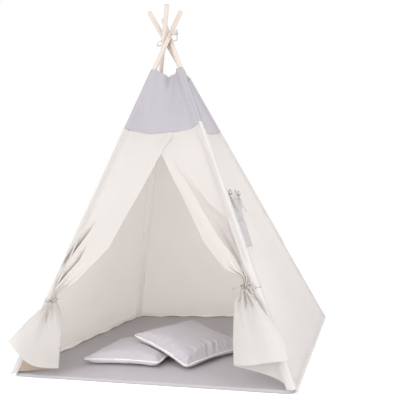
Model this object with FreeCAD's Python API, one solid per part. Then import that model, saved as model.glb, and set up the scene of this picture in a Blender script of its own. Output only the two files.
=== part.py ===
"""Child's teepee tent, in millimetres: +Z up, origin at the middle of the floor mat's underside.

Four round poles stand on the corners of a padded mat and cross below their tops, where a cotton rope runs
through a drilled hole in each of them. The cotton cover is a pyramid: a sleeve round each pole, four wall
panels under a contrasting top band, and a front door of two flaps tied back to the front poles. A small
pocket hangs on the right wall and two loose cushions lie inside. Lifting the crossing closes the poles.
"""
import FreeCAD, Part
import math
import os

Vec = FreeCAD.Vector
UP = Vec(0, 0, 1)
CENTRE = Vec(0, 0, 0)

# Poles and their crossing
POLE_LENGTH = 1800.0
POLE_R = 11.0
POLE_CHAMFER = 1.5
CROSSING_DROP = 155.0  # from the pole's top end down to its hole
FOOT_SPACING = 1125.0  # between the pole axes along one side of the square base
SWIRL = 18.7  # each pole passes the centre line at this distance, all turning the same way
HOLE_R = 3.2
KNOT_POS = (51.0, 2.0, 15.0)  # the rope's knot, from the middle of the crossing
KNOT_THICK_R = 6.0
KNOT_LONG = 10.0
HOLE_STEP = 2.8  # the holes of one opposite pair sit this much higher, and of the other lower
ROPE_R = 2.5
CORD_SIDES = 8

# Floor mat
MAT_SIDE = 1140.0
MAT_T = 12.0
MAT_CORNER_R = 12.0
MAT_EDGE_R = 4.0

# Pole sleeves
SLEEVE_R = 13.4
SLEEVE_BORE_R = 11.7
SLEEVE_BASE = 1.5  # the sewn end that the pole stands in
SLEEVE_CLEAR = 0.5  # between the sewn end and the mat
SLEEVE_HEM = 18.0
SLEEVE_HEM_T = 0.8

# Cover: heights are above the floor
COVER_T = 2.0
EDGE_GAP = 3.6  # from a sleeve to the panel beside it
RIM_Z = 1285.0
RIM_SAG = 34.0
SEAM_Z = 1000.0  # seam between the top band and the walls, at the poles
SEAM_SAG = 42.0
SEAM_GAP = 0.4
HEM_CLEAR = 3.0  # from the mat up to the hems

# Door flaps, in the front wall's plane: x and height
APEX = (22.0, 856.0)  # where the two flaps part
LEFT_LAP_X = 64.0  # the left flap overlaps the right one at the seam
RIGHT_LAP_X = -40.0
FLAP_T = 3.0
LEFT_LIFT = 2.8  # the left flap lies this far in front of the wall's plane, over the right one
RIGHT_LIFT = -0.8
LEFT_TIE_Z = 296.0
RIGHT_TIE_Z = 322.0
BUNDLE_X = 40.0  # from a front pole's axis towards the door, to the middle of its gathered flap
BUNDLE_Y = -12.0
BUNDLE_R = 14.0
BUNDLE_LOW = 32.0  # the gathered part reaches this far below its tie, and above it
BUNDLE_HIGH = 24.0
TIE_R = 18.0
TIE_W = 9.0
TIE_T = 1.2
TIE_LOOP_R = 11.0
TIE_TAIL = 62.0
TIE_LEAN = 0.62  # the bow's tails lie on the leaning skirt: forwards by this for each step down
TIE_KNOT_R = 5.0
SKIRT_T = 4.0
SKIRT_STEPS = 10

# Hanging pocket on the right wall: x runs along the wall from its middle
POCKET_TOP_Z = 652.0
POCKET_MOUTH_Z = 552.0
POCKET_BOTTOM_Z = 452.0
POCKET_W = 140.0
POCKET_OFF_POLE = 30.0
POCKET_BULGE = 24.0
POCKET_T = 2.0
POCKET_LIFT = 3.0
POCKET_LOOP_R = 8.0
POCKET_TAIL = 46.0
POCKET_KNOT_R = 3.5

# Cushions: side, other side, thickness
LEFT_CUSHION = (340.0, 320.0, 60.0)
LEFT_AT = (-143.0, -262.0)
RIGHT_CUSHION = (340.0, 335.0, 92.0)
RIGHT_AT = (101.0, -186.0)
RIGHT_TIP = 18.3
RIGHT_TURN = -36.0
CUSHION_CLEAR = 0.5
PILLOW_LEVELS = 8
PILLOW_STEPS = 7
SIDE_DRAW = 0.05  # how far a cushion's sides draw in between its corners

HALF = FOOT_SPACING / 2
REACH = POLE_LENGTH - CROSSING_DROP  # from a pole's foot to its hole
TILT = math.asin(HALF * math.sqrt(2) / REACH)
FOOT_Z = MAT_T + SLEEVE_CLEAR + SLEEVE_R * math.sin(TILT) + SLEEVE_BASE * math.cos(TILT)
HUB_Z = FOOT_Z + REACH * math.cos(TILT)
WALL_SLOPE = HALF / (HUB_Z - FOOT_Z)
KNOT_AT = Vec(*KNOT_POS) + Vec(0, 0, HUB_Z)
HEM_Z = MAT_T + HEM_CLEAR

POLES = {"front_left": 225, "front_right": 315, "rear_right": 45, "rear_left": 135}
SIDES = {"front": 0, "right": 90, "rear": 180, "left": 270}


def radial(pole):
    """Unit vector from the middle towards a pole's foot."""
    angle = math.radians(POLES[pole])
    return Vec(math.cos(angle), math.sin(angle), 0)


def tangent(pole):
    """Unit vector along a pole's hole, which is also the axis that it folds about."""
    return UP.cross(radial(pole))


def crossing(pole):
    """Middle of a pole's hole."""
    step = HOLE_STEP if pole in ("front_left", "rear_right") else -HOLE_STEP
    return Vec(0, 0, HUB_Z + step) + tangent(pole) * SWIRL


def foot(pole):
    return radial(pole) * HALF * math.sqrt(2) + UP * FOOT_Z


def along(pole):
    """Unit vector up a pole."""
    return (crossing(pole) - foot(pole)).normalize()


def on_pole(pole, z):
    """Point of a pole's axis at height z."""
    way = along(pole)
    return foot(pole) + way * ((z - FOOT_Z) / way.z)


def turned(shape, side):
    """A shape that was made on the front wall, turned round to another wall."""
    shape.rotate(CENTRE, UP, SIDES[side])
    return shape


def wall_out():
    """Outward normal of the front wall."""
    return Vec(0, -1, WALL_SLOPE).normalize()


def on_wall(x, z, out=0.0):
    """Point at x and height z of the front wall, and out in front of it."""
    return Vec(x, -(HUB_Z - z) * WALL_SLOPE, z) + wall_out() * out


def lines(points):
    """Straight edges through points, in order."""
    return [Part.LineSegment(a, b).toShape() for a, b in zip(points, points[1:])]


def arc(start, middle, end):
    return Part.Arc(start, middle, end).toShape()


def faceted(rings):
    """Closed solid of flat triangles through rings with the same number of points, capped at both ends."""
    faces = []
    for low, high in zip(rings, rings[1:]):
        for i in range(len(low)):
            j = (i + 1) % len(low)
            faces += [flat(low[i], low[j], high[j]), flat(low[i], high[j], high[i])]
    for ring in (rings[0], rings[-1]):
        middle = sum(ring, Vec()) / len(ring)
        faces += [flat(a, b, middle) for a, b in zip(ring, ring[1:] + ring[:1])]
    solid = Part.Solid(Part.Shell(faces))
    solid.fix(1e-6, 1e-6, 1e-6)
    return solid


def flat(*points):
    return Part.Face(Part.makePolygon([*points, points[0]]))


def prism(centre, radius, sides, height, axis):
    """Regular prism standing on its centre point."""
    start = Part.Circle(centre, axis, radius)
    points = [start.value(2 * math.pi * i / sides) for i in range(sides)]
    return flat(*points).extrude(axis.normalize() * height)


def slab(edges, thickness):
    """Flat sheet on the front wall: a closed outline of edges, thickened outwards."""
    face = Part.Face(Part.Wire(Part.__sortEdges__(edges)))
    return face.extrude(wall_out() * thickness)


def left_edge(z):
    """x where a wall panel ends beside its left pole's sleeve."""
    return on_pole("front_left", z).x + SLEEVE_R + EDGE_GAP


def right_edge(z):
    return on_pole("front_right", z).x - SLEEVE_R - EDGE_GAP


def panel(top_z, top_sag, low_z, low_sag):
    """Wall panel between two sleeves, its upper and lower edges hanging as shallow arcs."""
    top = [(left_edge(top_z), top_z), (0, top_z - top_sag), (right_edge(top_z), top_z)]
    low = [(left_edge(low_z), low_z), (0, low_z - low_sag), (right_edge(low_z), low_z)]
    top = [on_wall(x, z) for x, z in top]
    low = [on_wall(x, z) for x, z in low]
    edges = [arc(*top) if top_sag else Part.LineSegment(top[0], top[2]).toShape()]
    edges.append(arc(*low) if low_sag else Part.LineSegment(low[0], low[2]).toShape())
    edges += lines([top[0], low[0]]) + lines([top[2], low[2]])
    return slab(edges, COVER_T)


def under_band(shape):
    """The part of a front sheet that is below the band's seam."""
    above = panel(SEAM_Z + 200, 0, SEAM_Z - SEAM_GAP, SEAM_SAG)
    thick = [f for f in above.Faces if f.normalAt(0, 0).getAngle(wall_out()) < 0.01][0]
    thick = thick.translated(wall_out() * -20).extrude(wall_out() * 40)
    return shape.cut(thick)


def pole(name):
    """Round pole with chamfered ends and the rope's hole through it."""
    body = Part.makeCylinder(POLE_R, POLE_LENGTH, foot(name), along(name))
    ends = [e for e in body.Edges if e.Curve.TypeId == "Part::GeomCircle"]
    body = body.makeChamfer(POLE_CHAMFER, ends)
    start = crossing(name) - tangent(name) * POLE_R * 2
    return body.cut(Part.makeCylinder(HOLE_R, POLE_R * 4, start, tangent(name)))


def sleeve(name):
    """Cloth channel round a pole: closed at its foot, hemmed at its open top."""
    way = along(name)
    length = (RIM_Z - FOOT_Z) / way.z
    start = foot(name) - way * SLEEVE_BASE
    tube = Part.makeCylinder(SLEEVE_R, length + SLEEVE_BASE, start, way)
    hem_at = foot(name) + way * (length - SLEEVE_HEM)
    tube = tube.fuse(Part.makeCylinder(SLEEVE_R + SLEEVE_HEM_T, SLEEVE_HEM, hem_at, way))
    return tube.cut(Part.makeCylinder(SLEEVE_BORE_R, length + 1, foot(name), way)).removeSplitter()


def floor_mat():
    mat = Part.makeBox(MAT_SIDE, MAT_SIDE, MAT_T, Vec(-MAT_SIDE / 2, -MAT_SIDE / 2, 0))
    upright = [e for e in mat.Edges if abs(e.tangentAt(0).z) > 0.9]
    mat = mat.makeFillet(MAT_CORNER_R, upright)
    rims = [e for e in mat.Edges if abs(e.CenterOfMass.z - MAT_T) < 0.01]
    return mat.makeFillet(MAT_EDGE_R, rims)


def corner_arc(before, point, after, radius):
    """Arc of a radius that rounds a path at a point: its start, middle and end."""
    back = (before - point).normalize()
    on = (after - point).normalize()
    half = back.getAngle(on) / 2
    reach = radius / math.tan(half)
    middle_way = (back + on).normalize()
    centre = point + middle_way * (radius / math.sin(half))
    return point + back * reach, centre - middle_way * radius, point + on * reach


def tube(points, radius):
    """Round cord along straight runs joined by tangent arcs, and the arcs' radii."""
    edges, bends, at = [], [], points[0]
    for before, point, after in zip(points, points[1:], points[2:]):
        turn = (point - before).getAngle(after - point)
        run = min((point - before).Length, (after - point).Length)
        bend = 0.45 * run / math.tan(turn / 2)
        start, middle, end = corner_arc(before, point, after, bend)
        edges += [Part.LineSegment(at, start).toShape(), arc(start, middle, end)]
        bends.append(round(bend, 1))
        at = end
    edges.append(Part.LineSegment(at, points[-1]).toShape())
    path = Part.Wire(edges)
    ring = prism(points[0], radius, CORD_SIDES, 1, points[1] - points[0]).Faces
    ring = min(ring, key=lambda f: (f.CenterOfMass - points[0]).Length)
    cord = path.makePipeShell([ring.OuterWire], True, False)
    wanted = ring.Area * path.Length
    print("cord volume over section times length:", round(cord.Volume / wanted, 4), "bends", bends)
    return cord


def crossing_rope():
    """Rope through all four holes: a slack loop on the left, its two ends brought to a knot on the right."""
    front = tangent("front_left")
    back = tangent("front_right")
    high = Vec(0, 0, HUB_Z + HOLE_STEP)
    low = Vec(0, 0, HUB_Z - HOLE_STEP)
    out = SWIRL + POLE_R + 11
    points = [
        KNOT_AT + Vec(-1, -3, -1),
        high + Vec(46, -19, 7),
        high + front * out,
        high - front * out,
        high + Vec(-51, 17, -15),
        low + Vec(-52, -15, -17),
        low - back * out,
        low + back * out,
        low + Vec(48, 20, 6),
        KNOT_AT + Vec(-2, 3, -2),
    ]
    return tube(points, ROPE_R)


def rope_knot():
    """Knot that holds the two ends: two crossed turns, with its two short tails."""
    parts = []
    for axis in (Vec(1, 0.3, 0.2), Vec(0.3, 1, 0.6)):
        axis.normalize()
        parts.append(prism(KNOT_AT - axis * KNOT_LONG / 2, KNOT_THICK_R, 10, KNOT_LONG, axis))
    for way in (Vec(18, -7, 5), Vec(15, 9, -9)):
        parts.append(prism(KNOT_AT, ROPE_R, 10, way.Length, way))
    return parts[0].multiFuse(parts[1:])


def inward(name):
    """+1 for the pole on the door's left, -1 for the one on its right."""
    return 1 if name == "front_left" else -1


def bundle(name, z):
    """Middle of the gathered flap beside a front pole."""
    return on_pole(name, z) + Vec(inward(name) * BUNDLE_X, BUNDLE_Y, 0)


def flap_sheet(name, tie_z, free_edge, sweep, lap_x, lift):
    """Flat part of a flap: from its pole to its free edge, and from the band's seam down to its tie."""
    edge_x = left_edge if name == "front_left" else right_edge
    tie_x = bundle(name, tie_z).x
    near = inward(name) * BUNDLE_R * 0.6
    low, spread, top = tie_z + 8, tie_z + 50, SEAM_Z + 20
    outline = [(tie_x + near, low), (tie_x - near, low), (edge_x(spread), spread), (edge_x(top), top)]
    outline += [(lap_x, top), *free_edge]
    edges = lines([on_wall(x, z, lift) for x, z in outline])
    edges.append(arc(*[on_wall(x, z, lift) for x, z in (free_edge[-1], sweep, outline[0])]))
    return under_band(slab(edges, FLAP_T))


def skirt(name, rows, hem):
    """Hanging lower part of a flap: a curved sheet through level arcs, cut off along a slanting hem.

    A row is a height, then x and y from the pole's axis for the arc's start, middle and end.
    """
    rings = []
    for z, *steps in rows:
        ends = [on_pole(name, z) + Vec(x, y, 0) for x, y in steps]
        curve = Part.Arc(*ends)
        first, last = curve.FirstParameter, curve.LastParameter
        front = [curve.value(first + (last - first) * i / SKIRT_STEPS) for i in range(SKIRT_STEPS + 1)]
        rings.append(front + [p + Vec(0, SKIRT_T, 0) for p in reversed(front)])
    sheet = faceted(rings)
    start, end = Vec(hem[0][0], 0, hem[0][1]), Vec(hem[1][0], 0, hem[1][1])
    way = (end - start).normalize() * 300
    deep = UP * 400
    below = lines([start - way, end + way, end + way - deep, start - way - deep, start - way])
    below = Part.Face(Part.Wire(below)).translated(Vec(0, -900, 0))
    return sheet.cut(below.extrude(Vec(0, 900, 0)))


def gather(name, tie_z):
    """The flap's cloth where its tie gathers it beside the pole."""
    way = along(name)
    start = bundle(name, tie_z) - way * BUNDLE_LOW
    return prism(start, BUNDLE_R, 16, BUNDLE_LOW + BUNDLE_HIGH, way)


def door_flap_left():
    """Left flap: lapped over the right one below the band, swept to its tie, its skirt hanging below."""
    edge = [APEX, (-99, 623)]
    sheet = flap_sheet("front_left", LEFT_TIE_Z, edge, (-232, 424), LEFT_LAP_X, LEFT_LIFT)
    rows = [
        (LEFT_TIE_Z - 14, (50, -20), (40, -24), (30, -20)),
        (LEFT_TIE_Z - 36, (62, -24), (36, -35), (4, -29)),
        (190, (138, -14), (30, -52), (-62, -34)),
        (20, (218, 0), (75, -60), (-88, -32)),
    ]
    hanging = skirt("front_left", rows, ((-343, 33), (-610, 122)))
    return sheet.multiFuse([gather("front_left", LEFT_TIE_Z), hanging])


def door_flap_right():
    """Right flap: behind the left one at the lap, swept to its tie, its skirt hanging below."""
    edge = [APEX, (150, 640)]
    sheet = flap_sheet("front_right", RIGHT_TIE_Z, edge, (262, 450), RIGHT_LAP_X, RIGHT_LIFT)
    rows = [
        (RIGHT_TIE_Z - 14, (-50, -20), (-40, -24), (-30, -20)),
        (RIGHT_TIE_Z - 36, (-60, -24), (-36, -35), (-8, -29)),
        (235, (-106, -14), (-30, -46), (26, -34)),
        (50, (-172, -4), (-70, -54), (30, -32)),
    ]
    hanging = skirt("front_right", rows, ((376, 67), (550, 86)))
    return sheet.multiFuse([gather("front_right", RIGHT_TIE_Z), hanging])


def ribbon_bow(at, way, side, loop_r, tail, knot_r):
    """Two loops and two tails of ribbon from a knot, hanging along way and spread along side."""
    out = way.cross(side).normalize()
    parts = [prism(at - out * knot_r, knot_r, 8, knot_r + TIE_W, out)]
    for s in (-1, 1):
        parts.append(ribbon_ring(at + side * s * loop_r * 1.15, loop_r, 16, TIE_W - 1, out))
        tip = at + way * tail + side * s * tail * 0.3
        parts.append(strap(at, tip, out, TIE_W))
    return parts[0].multiFuse(parts[1:])


def ribbon_ring(start, radius, sides, width, axis):
    """Ring of ribbon, its outside at a radius."""
    outer = prism(start, radius, sides, width, axis)
    return outer.cut(prism(start, radius - TIE_T, sides, width, axis))


def strap(start, end, normal, width):
    """Flat ribbon between two points, TIE_T thick."""
    way = (end - start).normalize()
    across = way.cross(normal).normalize() * width / 2
    corners = [start - across, start + across, end + across, end - across, start - across]
    return Part.Face(Part.makePolygon(corners)).extrude(normal.normalize() * TIE_T)


def door_tie(name, z):
    """Ribbon round a gathered flap beside its pole, tied in a bow at the front."""
    way = along(name)
    start = bundle(name, z) - way * TIE_W / 2
    ring = ribbon_ring(start, TIE_R, 24, TIE_W, way)
    forward = (way * way.y - Vec(0, 1, 0)).normalize()
    knot_at = bundle(name, z) + forward * (TIE_R + TIE_KNOT_R / 2)
    down = Vec(0, -TIE_LEAN, -1).normalize()
    bow = ribbon_bow(knot_at, down, Vec(1, 0, 0), TIE_LOOP_R, TIE_TAIL, TIE_KNOT_R)
    return ring.fuse(bow)


def pocket_x(z):
    """Left edge of the pocket at height z: it runs beside the sleeve."""
    return on_pole("front_left", z).x + POCKET_OFF_POLE


def pocket_back():
    """Back panel of the hanging pocket."""
    corners = []
    for z in (POCKET_TOP_Z, POCKET_BOTTOM_Z):
        corners += [(pocket_x(z), z), (pocket_x(z) + POCKET_W, z)]
    points = [on_wall(x, z, COVER_T + POCKET_LIFT) for x, z in corners]
    outline = lines([points[0], points[1], points[3], points[2], points[0]])
    return turned(slab(outline, POCKET_T), "right")


def pocket_pouch():
    """Pouch sewn over the lower half of the back panel: a bowed front, closed below, open above."""
    lift = COVER_T + POCKET_LIFT + POCKET_T
    z = POCKET_MOUTH_Z
    drop = on_wall(pocket_x(POCKET_BOTTOM_Z), POCKET_BOTTOM_Z) - on_wall(pocket_x(z), z)
    shapes = []
    for inset in (0.0, POCKET_T):
        left, right = pocket_x(z) + inset, pocket_x(z) + POCKET_W - inset
        back = [on_wall(left, z, lift), on_wall(right, z, lift)]
        mid = on_wall((left + right) / 2, z, lift + POCKET_BULGE - inset)
        face = Part.Face(Part.Wire([arc(back[0], mid, back[1]), *lines([back[1], back[0]])]))
        shapes.append(face.extrude(drop * (1 - inset / drop.Length)))
    return turned(shapes[0].cut(shapes[1]), "right")


def pocket_tie(end):
    """Ribbon from a top corner of the pocket up to the wall, with its bow."""
    x = pocket_x(POCKET_TOP_Z) + (12 if end == "left" else POCKET_W - 12)
    lift = COVER_T + POCKET_LIFT + POCKET_T
    side = 6 if end == "left" else 26
    low, high = on_wall(x, POCKET_TOP_Z - 6, lift), on_wall(x + side, POCKET_TOP_Z + 24, lift)
    band = strap(low, high, wall_out(), TIE_W)
    way = (on_wall(0, 0) - on_wall(0, 1)).normalize()
    bow = ribbon_bow(high, way, Vec(1, 0, 0), POCKET_LOOP_R, POCKET_TAIL, POCKET_KNOT_R)
    return turned(band.fuse(bow), "right")


def pillow(size):
    """Square cushion lying flat: sides drawn in between its corners, full middle, its seam half way up."""
    length, width, thick = size
    outline = []
    for turn in range(4):
        for i in range(PILLOW_STEPS):
            t = 2 * i / PILLOW_STEPS - 1
            point = Vec(t, 1 - SIDE_DRAW * (1 - t * t), 0)
            outline.append(FreeCAD.Rotation(UP, -90 * turn).multVec(point))
    rings = []
    for level in range(PILLOW_LEVELS + 1):
        lean = math.pi * (level / PILLOW_LEVELS - 0.5)
        share = 0.35 + 0.65 * abs(math.cos(lean)) ** 0.75
        z = thick / 2 * (1 + math.sin(lean))
        rings.append([Vec(p.x * length / 2 * share, p.y * width / 2 * share, z) for p in outline])
    return faceted(rings)


def settled(shape, z):
    """A shape set down so that its lowest point is at height z."""
    low = shape.optimalBoundingBox(True, False).ZMin
    return shape.translated(Vec(0, 0, z - low))


def cushion_left():
    return settled(pillow(LEFT_CUSHION).translated(Vec(*LEFT_AT, 0)), MAT_T + CUSHION_CLEAR)


def cushion_right():
    """Tipped so that its left side rests on the left cushion, and turned."""
    shape = pillow(RIGHT_CUSHION)
    shape.rotate(CENTRE, Vec(0, 1, 0), RIGHT_TIP)
    shape.rotate(CENTRE, UP, RIGHT_TURN)
    return settled(shape.translated(Vec(*RIGHT_AT, 0)), MAT_T + CUSHION_CLEAR)


def build():
    """Every piece of the tent by its node's name."""
    nodes = {"floor_mat": floor_mat(), "crossing_rope": crossing_rope(), "rope_knot": rope_knot()}
    for name in POLES:
        nodes["pole_" + name] = pole(name)
        nodes["sleeve_" + name] = sleeve(name)
    for side in SIDES:
        nodes["band_" + side] = turned(panel(RIM_Z, RIM_SAG, SEAM_Z, SEAM_SAG), side)
        if side != "front":
            nodes["wall_" + side] = turned(panel(SEAM_Z - SEAM_GAP, SEAM_SAG, HEM_Z, 0), side)
    nodes["door_flap_left"] = door_flap_left()
    nodes["door_flap_right"] = door_flap_right()
    nodes["door_tie_left"] = door_tie("front_left", LEFT_TIE_Z)
    nodes["door_tie_right"] = door_tie("front_right", RIGHT_TIE_Z)
    nodes["pocket_back"] = pocket_back()
    nodes["pocket_pouch"] = pocket_pouch()
    nodes["pocket_tie_left"] = pocket_tie("left")
    nodes["pocket_tie_right"] = pocket_tie("right")
    nodes["cushion_left"] = cushion_left()
    nodes["cushion_right"] = cushion_right()
    return nodes


def main():
    os.makedirs("parts", exist_ok=True)
    for name, shape in build().items():
        shape.exportStep("parts/" + name + ".step")


main()
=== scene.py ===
"""Child's teepee tent: poles, cotton cover with a tied-back door, mat, cushions, pocket and crossing rope."""

import math

import bpy
import numpy as np
from mathutils import Matrix, Vector


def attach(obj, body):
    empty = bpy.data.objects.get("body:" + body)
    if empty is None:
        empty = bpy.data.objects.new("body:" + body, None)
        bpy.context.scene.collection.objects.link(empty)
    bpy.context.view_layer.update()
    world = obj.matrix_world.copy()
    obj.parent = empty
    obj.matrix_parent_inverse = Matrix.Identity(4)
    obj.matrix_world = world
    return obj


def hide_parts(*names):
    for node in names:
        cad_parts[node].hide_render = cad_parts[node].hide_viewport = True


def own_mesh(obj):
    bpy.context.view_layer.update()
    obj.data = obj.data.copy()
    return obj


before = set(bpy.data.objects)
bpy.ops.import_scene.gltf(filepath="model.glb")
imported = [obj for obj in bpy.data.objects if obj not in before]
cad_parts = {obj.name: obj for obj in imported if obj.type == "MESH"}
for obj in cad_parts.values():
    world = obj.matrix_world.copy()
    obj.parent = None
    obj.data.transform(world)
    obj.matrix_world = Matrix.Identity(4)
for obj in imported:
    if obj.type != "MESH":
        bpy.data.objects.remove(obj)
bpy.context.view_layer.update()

# Sizes in metres, as in the solids. The door is towards -Y.
HALF = 0.5625  # from the middle of the base to a pole's foot, along each side
FOOT_Z = 0.020293  # middle of a pole's foot
POLE_LENGTH = 1.8
HUB_Z = 1.460158  # height at which the poles cross
HOLE_STEP = 0.0028  # two of the poles cross this much above it and two below
SWIRL = 0.0187  # how far each pole passes from the middle of the crossing
SLOPE = HALF / (HUB_Z - FOOT_Z)  # how far a wall leans in for each metre of height
WALL_LENGTH = math.sqrt(1 + SLOPE**2)  # of cloth for each metre of height
SLEEVE_LENGTH = 1.13  # of cloth for each metre of height, puckers taken in
SLEEVE_R = 0.0134
SLEEVE_FOOT = 0.0135  # height of a sleeve's closed end
RIM_Z = 1.285
SEAM_Z = 1.0  # where the grey band meets the ecru cloth
BUNDLE_ASIDE = 0.040  # from a pole's axis to the middle of the flap gathered beside it
BUNDLE_AHEAD = 0.012
ANGLES = {"front_left": 225, "front_right": 315, "rear_right": 45, "rear_left": 135}
SIDES = {"front": 0, "right": 90, "rear": 180, "left": 270}
CORNERS = {  # each side's left and right pole, seen from outside
    "front": ("front_left", "front_right"),
    "right": ("front_right", "rear_right"),
    "rear": ("rear_right", "rear_left"),
    "left": ("rear_left", "front_left"),
}

# Thickness of the cloth
WALL_THICK = 0.0012
SLEEVE_THICK = 0.0008
BAND_THICK = 0.0014
POCKET_THICK = 0.001


# ---------------------------------------------------------------- colours and materials
def tone(code):
    """Linear colour of an sRGB hex code, with full alpha."""
    parts = [int(code[i : i + 2], 16) / 255 for i in (1, 3, 5)]
    return (*[c / 12.92 if c <= 0.04045 else ((c + 0.055) / 1.055) ** 2.4 for c in parts], 1.0)


def add(tree, kind, inputs=None, **settings):
    """A node with its settings, its inputs either values or sockets to link from."""
    node = tree.nodes.new("ShaderNode" + kind)
    for key, value in settings.items():
        setattr(node, key, value)
    for key, value in (inputs or {}).items():
        if isinstance(value, bpy.types.NodeSocket):
            tree.links.new(value, node.inputs[key])
        else:
            node.inputs[key].default_value = value
    return node


def surface(name, roughness, ior=1.46):
    """A material, its tree and its shader, which starts with this roughness."""
    mat = bpy.data.materials.new(name)
    mat.use_nodes = True
    tree = mat.node_tree
    shader = tree.nodes["Principled BSDF"]
    shader.inputs["Roughness"].default_value = roughness
    shader.inputs["IOR"].default_value = ior
    return mat, tree, shader


def cloth(name, colour, shade, relief=0.35, daylight=0.0, painted_glow=0.0):
    """Plain-woven cotton: warp and weft over and under each other, the yarn a little uneven, with a soft nap.

    The colour wanders between its own tone and a slightly darker one, in patches of 110 mm and in slubs
    17 mm long and 1 mm thick. A line of stitches darkens it by the sheet's Stitch attribute. Its Fold
    attribute
    paints shade into the depth of a crease: a warm darker tone where light passes through several layers. The
    real threads are 0.5 mm apart; they are drawn 2.4 mm apart so that the weave shows at all. daylight is the
    share of the light that the cloth lets through, and glow a faint painted light: an emission that stands
    for the light filtering in between its layers from behind.
    """
    mat, tree, shader = surface(name, 0.9)
    thread = 0.0024
    wave_scale = 0.314 / thread  # a wave repeats after 0.314 divided by its scale
    uv = add(tree, "UVMap", uv_map="Cut").outputs["UV"]
    where = add(tree, "TexCoord").outputs["Object"]
    mottle = add(tree, "TexNoise", {"Vector": where, "Scale": 9.0, "Detail": 5.0, "Roughness": 0.6})
    yarn = add(tree, "Mapping", {"Vector": uv, "Scale": (60, 900, 1)}).outputs[0]
    slub = add(tree, "TexNoise", {"Vector": yarn, "Scale": 1.0, "Detail": 2.0})
    wide = add(tree, "Math", {0: mottle.outputs["Fac"], 1: 0.6}, operation="MULTIPLY").outputs[0]
    share = add(tree, "Math", {0: slub.outputs["Fac"], 1: 0.4, 2: wide}, operation="MULTIPLY_ADD").outputs[0]
    plain = add(tree, "Mix", {"Factor": share, 6: tone(colour), 7: tone(shade)}, data_type="RGBA").outputs[2]

    stitch = add(tree, "Attribute", attribute_name="Stitch").outputs["Fac"]
    sewn = add(tree, "Mix", {"Factor": stitch, 6: plain, 7: tone(shade)}, data_type="RGBA",
               blend_type="MULTIPLY").outputs[2]
    # Painted shade: the Fold attribute multiplies the colour towards a warm brown in creases
    fold = add(tree, "Attribute", attribute_name="Fold").outputs["Fac"]
    folded = add(tree, "Mix", {"Factor": fold, 6: sewn, 7: tone("#c3b1a2")}, data_type="RGBA",
                 blend_type="MULTIPLY").outputs[2]
    tree.links.new(folded, shader.inputs["Base Color"])

    warp = add(tree, "TexWave", {"Vector": uv, "Scale": wave_scale}, bands_direction="X").outputs["Fac"]
    weft = add(tree, "TexWave", {"Vector": uv, "Scale": wave_scale}, bands_direction="Y").outputs["Fac"]
    weave = add(tree, "Math", {0: warp, 1: weft}, operation="MULTIPLY").outputs[0]
    woven = add(tree, "Bump", {"Height": weave, "Strength": relief, "Distance": 0.0004}).outputs["Normal"]
    crease = add(tree, "TexNoise", {"Vector": where, "Scale": 26.0, "Detail": 4.0, "Roughness": 0.55})
    creased = add(tree, "Bump", {"Height": crease.outputs["Fac"], "Strength": 0.35, "Distance": 0.004,
                                 "Normal": woven}).outputs["Normal"]
    tree.links.new(creased, shader.inputs["Normal"])
    shader.inputs["Sheen Weight"].default_value = 0.12
    shader.inputs["Sheen Roughness"].default_value = 0.5
    # Painted light: where glow is set, the cloth gives off a faint light of its own, standing for light that
    # filters in between layers
    shader.inputs["Emission Color"].default_value = tone("#f1eae4")
    shader.inputs["Emission Strength"].default_value = painted_glow
    if daylight:
        warm = add(tree, "Mix", {"Factor": 1.0, 6: folded, 7: (1.0, 0.996, 0.978, 1)}, data_type="RGBA",
                   blend_type="MULTIPLY").outputs[2]
        passed = add(tree, "BsdfTranslucent", {"Color": warm, "Normal": creased})
        both = add(tree, "MixShader", {0: daylight, 1: shader.outputs[0], 2: passed.outputs[0]})
        tree.links.new(both.outputs[0], tree.nodes["Material Output"].inputs["Surface"])
    return mat


def pine(name, axis, start):
    """Sanded pine without varnish: pale and slightly darker grain, and darker, warmer end grain at the top.

    The grain is noise drawn out along the stick's own axis, 9 mm across and 200 mm along.
    """
    mat, tree, shader = surface(name, 0.5)
    where = add(tree, "TexCoord").outputs["Object"]
    turn = axis.to_track_quat("Z", "Y").inverted().to_euler()
    moved = add(tree, "VectorMath", {0: where, 1: start}, operation="SUBTRACT").outputs[0]
    local = add(tree, "Mapping", {"Vector": moved, "Rotation": turn}).outputs[0]
    drawn = add(tree, "Mapping", {"Vector": local, "Scale": (110, 110, 5)}).outputs[0]
    noise = add(tree, "TexNoise", {"Vector": drawn, "Scale": 1.0, "Detail": 6.0, "Roughness": 0.6})
    grain = noise.outputs["Fac"]
    rings = add(tree, "ValToRGB", {"Fac": grain})
    for stop, (position, code) in zip(rings.color_ramp.elements, ((0.3, "#bbaea4"), (0.75, "#cbc0b8"))):
        stop.position = position
        stop.color = tone(code)
    up = add(tree, "SeparateXYZ", {"Vector": local}).outputs["Z"]
    end = add(tree, "Math", {0: up, 1: POLE_LENGTH - 0.0012}, operation="GREATER_THAN").outputs[0]
    wood = add(tree, "Mix", {"Factor": end, 6: rings.outputs[0], 7: tone("#b68c6c")}, data_type="RGBA")
    tree.links.new(wood.outputs[2], shader.inputs["Base Color"])
    bump = add(tree, "Bump", {"Height": grain, "Strength": 0.2, "Distance": 0.0006})
    tree.links.new(bump.outputs["Normal"], shader.inputs["Normal"])
    return mat


# Unbleached cotton canvas, plain-woven and washed: matt, a little slack, and thin enough for daylight.
ECRU = cloth("Ecru cotton canvas", "#f4f2f1", "#eeebe9", daylight=0.66)
# The same canvas on the skirts, its colour painted a shade darker: painted shade that tones down the light
# they catch
ECRU_SKIRT_PAINTED_SHADE = cloth("Ecru cotton canvas, skirt in painted shade", "#ebe9e7", "#e4e1df", daylight=0.62)
# The same canvas in two layers, as round the poles: less light comes through, and its colour is painted a
# shade deeper as shade.
ECRU_DOUBLE_PAINTED_SHADE = cloth("Ecru cotton canvas, doubled", "#e8e6e4", "#e1dedb", daylight=0.4)
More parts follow.
